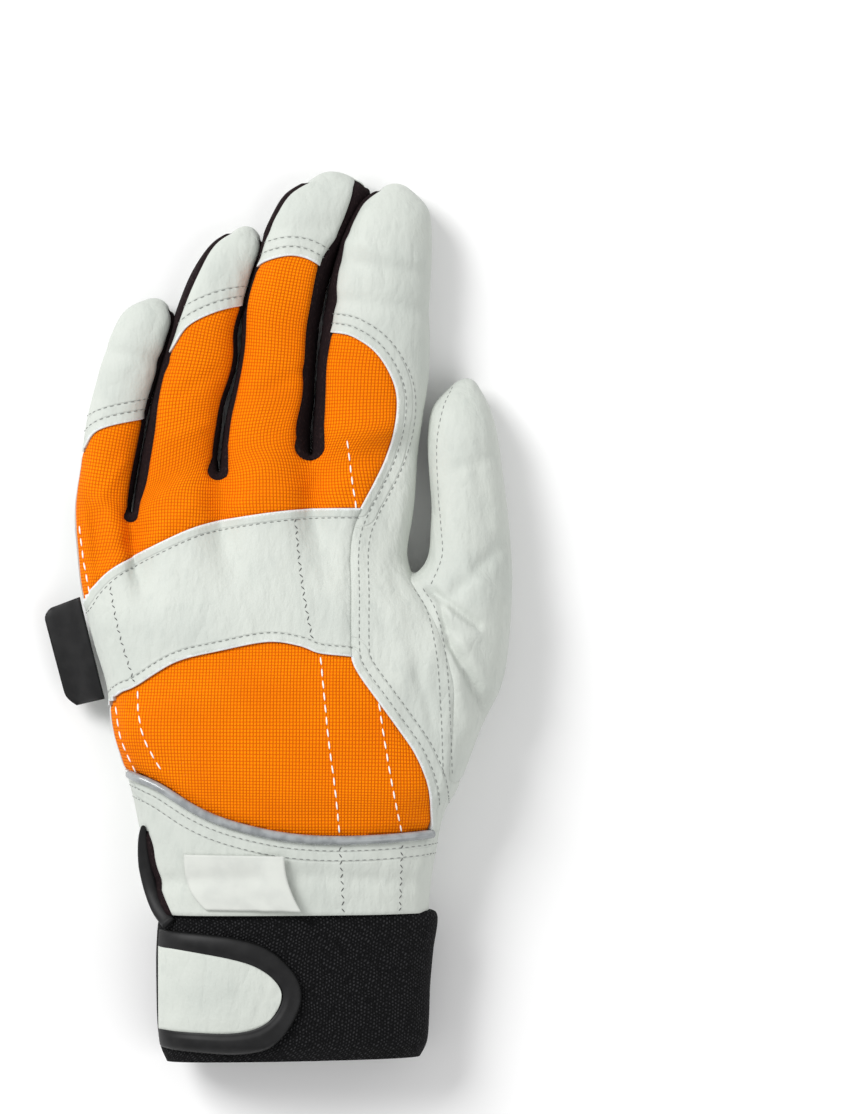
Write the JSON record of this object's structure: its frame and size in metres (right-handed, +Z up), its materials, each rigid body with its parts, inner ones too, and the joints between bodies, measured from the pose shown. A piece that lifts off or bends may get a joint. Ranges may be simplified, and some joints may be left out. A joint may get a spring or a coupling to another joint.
{
  "type": "chainsaw glove",
  "caption": "A left-hand chainsaw glove in white leather with orange woven back panels, a knit cuff and a closing tab.",
  "frame": {"origin": "The middle of the glove's outline seen from above, on the surface it lies on.", "axes": "+Z up away from the surface, +Y towards the fingertips, +X towards the thumb."},
  "size_m": [0.142, 0.2708, 0.0382],
  "materials": {
    "leather": "matte",
    "orange_weave": "matte",
    "black_fabric": "matte",
    "black_knit": "matte",
    "black_rubber": "satin",
    "grey_piping": "satin",
    "label_cloth": "matte"
  },
  "bodies": {
    "root": {"palm_leather": "leather", "thumb_leather": "leather", "index_leather": "leather", "tip_little": "leather", "tip_ring": "leather", "tip_middle": "leather", "knuckle_strap": "leather", "wrist_leather": "leather", "closure_tab": "leather", "back_knuckles": "orange_weave", "back_hand": "orange_weave", "fourchette_little": "black_fabric", "fourchette_middle": "black_fabric", "fourchette_index": "black_fabric", "slit_binding": "black_fabric", "cuff": "black_knit", "closure_binding": "black_rubber", "side_label": "black_rubber", "piping": "grey_piping", "care_label": "label_cloth"}
  },
  "joints": []
}
